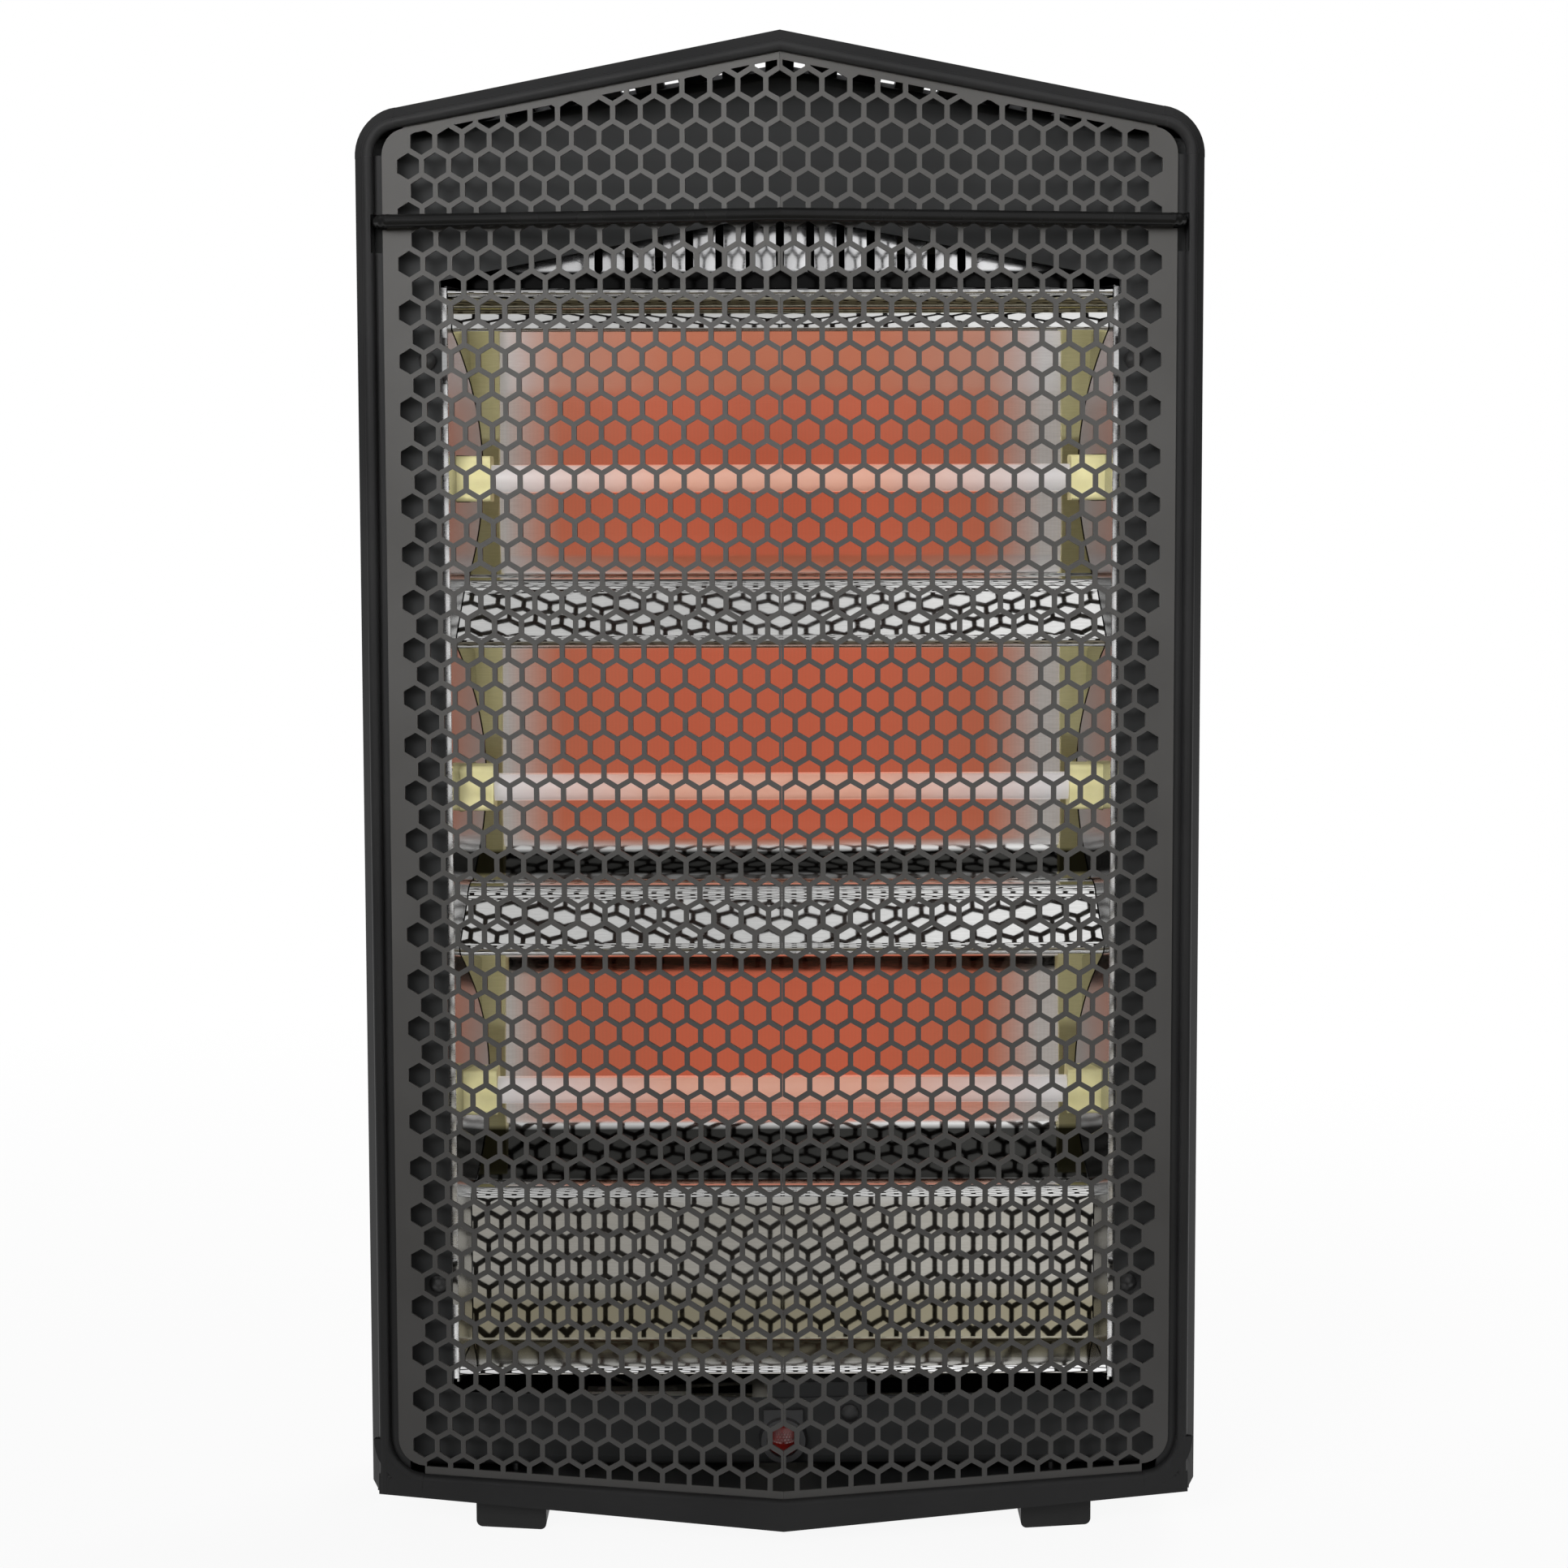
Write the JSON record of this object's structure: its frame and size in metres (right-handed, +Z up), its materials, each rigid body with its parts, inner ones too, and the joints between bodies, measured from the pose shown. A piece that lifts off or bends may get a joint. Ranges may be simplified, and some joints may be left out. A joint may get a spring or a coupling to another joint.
{
  "type": "quartz heater",
  "caption": "Gabled floor-standing quartz heater with a folded hexagon grille, glowing tubes in a polished reflector, tilt cut-off and rear controls.",
  "frame": {"origin": "middle of the footprint, on the floor under the feet", "axes": "+Z up, front of the heater towards -Y, +X to the right seen from the front"},
  "size_m": [0.3302, 0.1772, 0.5899],
  "materials": {
    "frame_plastic": "satin charcoal moulding",
    "grille_paint": "satin grey-black enamel",
    "wire_paint": "satin black enamel",
    "panel_paint": "dark satin enamel",
    "polished_aluminium": "polished",
    "satin_aluminium": "satin",
    "quartz": "clear to frosted",
    "coil_wire": "glowing",
    "ceramic": "unglazed cream ceramic",
    "dark_screw": "blackened",
    "steel_screw": "zinc plated",
    "housing_plastic": "satin black enamel",
    "foot_plastic": "matt black",
    "bezel_plastic": "satin charcoal",
    "red_lens": "translucent dark red",
    "inner_plastic": "plain",
    "knob_plastic": "satin black",
    "plunger_plastic": "red",
    "spring_steel": "bare",
    "wire_sleeve": "woven sleeve",
    "gland_rubber": "matt black"
  },
  "bodies": {
    "heater": {"front_frame": "frame_plastic", "front_grille_left": "grille_paint", "front_grille_right": "grille_paint", "guard_wire": "wire_paint", "inner_panel": "panel_paint", "panel_screws": "dark_screw", "reflector": "polished_aluminium", "reflector_end_left": "polished_aluminium", "reflector_end_right": "polished_aluminium", "reflector_clip": "panel_paint", "quartz_tube_top": "quartz", "quartz_tube_middle": "quartz", "quartz_tube_bottom": "quartz", "heating_coil_top": "coil_wire", "heating_coil_middle": "coil_wire", "heating_coil_bottom": "coil_wire", "ceramic_cap_top_left": "ceramic", "ceramic_cap_top_right": "ceramic", "ceramic_cap_middle_left": "ceramic", "ceramic_cap_middle_right": "ceramic", "ceramic_cap_bottom_left": "ceramic", "ceramic_cap_bottom_right": "ceramic", "heat_shield": "satin_aluminium", "thermal_cutout": "knob_plastic", "rear_housing": "housing_plastic", "handle_cup": "foot_plastic", "base_plate": "panel_paint", "base_screws": "steel_screw", "foot_left": "foot_plastic", "foot_right": "foot_plastic", "foot_screws": "steel_screw", "indicator_bezel": "bezel_plastic", "indicator_lens": "red_lens", "indicator_lamp": "inner_plastic", "selector_switch": "inner_plastic", "thermostat_body": "inner_plastic", "tip_switch": "inner_plastic", "tip_spring": "spring_steel", "terminal_block": "inner_plastic", "cord_gland": "gland_rubber", "wiring": "wire_sleeve"},
    "selector_knob": {"selector_knob": "knob_plastic"},
    "thermostat_knob": {"thermostat_knob": "knob_plastic"},
    "tip_plunger": {"tip_plunger": "plunger_plastic"}
  },
  "joints": [
    {"name": "selector_turn", "type": "hinge", "parent": "heater", "child": "selector_knob", "pos_m": [-0.058, 0.0636, 0.541], "axis": [0, -0.866, -0.5], "range_deg": [0, 135]},
    {"name": "thermostat_turn", "type": "hinge", "parent": "heater", "child": "thermostat_knob", "pos_m": [0.058, 0.0636, 0.541], "axis": [0, -0.866, -0.5], "range_deg": [0, 270]},
    {"name": "plunger_slide", "type": "slide", "parent": "heater", "child": "tip_plunger", "axis": [0, 0, -1], "range_m": [0, 0.007], "stiffness_N_per_m": 60, "springref_m": 0.02, "deforming": ["tip_spring"]}
  ]
}
